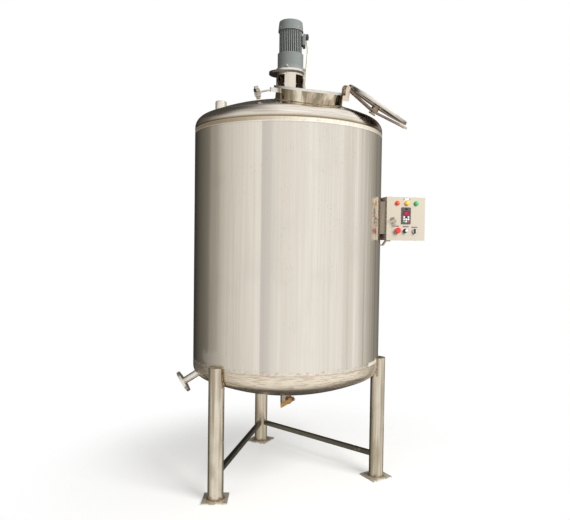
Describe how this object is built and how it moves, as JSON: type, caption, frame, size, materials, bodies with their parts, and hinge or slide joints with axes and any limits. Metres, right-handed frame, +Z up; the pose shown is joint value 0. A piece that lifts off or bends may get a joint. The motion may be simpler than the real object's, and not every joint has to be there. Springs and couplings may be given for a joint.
{
  "type": "mixing tank",
  "caption": "Upright round steel mixing tank with dished ends on three pipe legs, top gear motor, hinged manhole lid, bottom ball valve and a control box on its side.",
  "frame": {"origin": "on the tank's upright axis at floor level, under the middle of the three foot plates", "axes": "+Z up along the tank's axis, -Y towards the front where the control box's door faces, +X to the right"},
  "size_m": [1.7058, 1.3775, 3.166],
  "materials": {
    "stainless_shell": "brushed and part polished",
    "stainless_dish": "pressed, polished, heat tinted at the welds",
    "stainless_pipe": "satin",
    "stainless_polished": "mirror polished",
    "dark_steel": "dull",
    "gasket_rubber": "matt",
    "knob_plastic": "satin",
    "motor_paint": "semi gloss",
    "agitator_steel": "satin",
    "lever_paint": "dipped plastic",
    "box_paint": "powder coat",
    "lamp_red": "clear lens",
    "lamp_yellow": "clear lens",
    "lamp_green": "clear lens",
    "keypad_plastic": "membrane",
    "cable_sheath": "smooth pvc",
    "lock_metal": "polished",
    "stop_red": "moulded"
  },
  "bodies": {
    "tank": {"shell_front": "stainless_shell", "shell_back": "stainless_shell", "top_head": "stainless_dish", "bottom_head": "stainless_dish", "leg_front_left": "stainless_pipe", "leg_right": "stainless_pipe", "leg_back": "stainless_pipe", "foot_front_left": "stainless_pipe", "foot_right": "stainless_pipe", "foot_back": "stainless_pipe", "brace_left": "dark_steel", "brace_right": "dark_steel", "manhole_neck": "stainless_pipe", "manhole_rim": "stainless_pipe", "lid_hinge": "stainless_pipe", "clamp_ears": "stainless_pipe", "lantern": "stainless_pipe", "shaft_seal": "stainless_pipe", "drive_plate": "stainless_pipe", "flange_ring": "stainless_pipe", "gearbox": "motor_paint", "motor_stator": "motor_paint", "fan_cowl": "motor_paint", "terminal_box": "motor_paint", "cable_gland": "knob_plastic", "motor_cable": "cable_sheath", "box_gland": "knob_plastic", "top_socket": "stainless_pipe", "drain_nozzle": "stainless_pipe", "outlet_pipe": "stainless_pipe", "valve_body": "stainless_polished", "control_box": "box_paint", "box_bracket": "stainless_pipe", "box_strut": "stainless_pipe"},
    "lid_arm": {"lid_strap": "stainless_pipe"},
    "lid": {"lid": "stainless_polished", "lid_gasket": "gasket_rubber"},
    "swing_bolt": {"swing_bolt": "stainless_pipe"},
    "star_knob": {"star_knob": "stainless_polished"},
    "agitator": {"agitator_shaft": "agitator_steel", "impeller": "agitator_steel"},
    "valve_lever": {"valve_lever": "lever_paint"},
    "box_door": {"box_door": "box_paint", "lamp_red": "lamp_red", "lamp_yellow": "lamp_yellow", "lamp_green": "lamp_green", "keypad": "keypad_plastic", "door_lock": "lock_metal", "stop_base": "lock_metal"},
    "emergency_stop": {"emergency_stop": "stop_red"},
    "speed_knob": {"speed_knob": "knob_plastic"},
    "selector": {"selector": "knob_plastic"}
  },
  "joints": [
    {"name": "lid_arm_hinge", "type": "hinge", "parent": "tank", "child": "lid_arm", "pos_m": [0.36736, -0.32161, 2.63965], "axis": [-0.2977, 0.9161, 0.2685], "range_deg": [-205, 0]},
    {"name": "lid_rock", "type": "hinge", "parent": "lid_arm", "child": "lid", "pos_m": [0.55977, -0.22159, 2.51168], "axis": [-0.8269, -0.388, 0.4071], "range_deg": [0, 8]},
    {"name": "swing_bolt_hinge", "type": "hinge", "parent": "tank", "child": "swing_bolt", "pos_m": [-0.11348, -0.45977, 2.578], "axis": [-0.2977, 0.9161, 0.2685], "range_deg": [0, 107]},
    {"name": "star_knob_turn", "type": "hinge", "parent": "swing_bolt", "child": "star_knob", "pos_m": [-0.11348, -0.45977, 2.578], "axis": [-0.9338, -0.2209, -0.2816], "continuous": true},
    {"name": "agitator_turn", "type": "hinge", "parent": "tank", "child": "agitator", "pos_m": [0, 0, 2.7], "axis": [0, 0, -1], "continuous": true},
    {"name": "valve_lever_turn", "type": "hinge", "parent": "tank", "child": "valve_lever", "pos_m": [0.04243, -0.04243, 0.52], "axis": [0.7071, -0.7071, 0], "range_deg": [0, 90]},
    {"name": "door_hinge", "type": "hinge", "parent": "tank", "child": "box_door", "pos_m": [0.95228, -0.08088, 1.802], "axis": [0, 0, 1], "range_deg": [0, 115]},
    {"name": "emergency_stop_push", "type": "slide", "parent": "box_door", "child": "emergency_stop", "axis": [-0.1564, 0.9877, 0], "range_m": [0, 0.004], "stiffness_N_per_m": 600},
    {"name": "speed_knob_turn", "type": "hinge", "parent": "box_door", "child": "speed_knob", "pos_m": [0.81134, -0.11788, 1.718], "axis": [0.1564, -0.9877, 0], "range_deg": [-150, 150]},
    {"name": "selector_turn", "type": "hinge", "parent": "box_door", "child": "selector", "pos_m": [0.8785, -0.10724, 1.717], "axis": [0.1564, -0.9877, 0], "range_deg": [0, 90]}
  ],
  "couplings": [
    {"joint": "lid_rock", "follows": "lid_arm_hinge", "ratio": -0.039024}
  ]
}
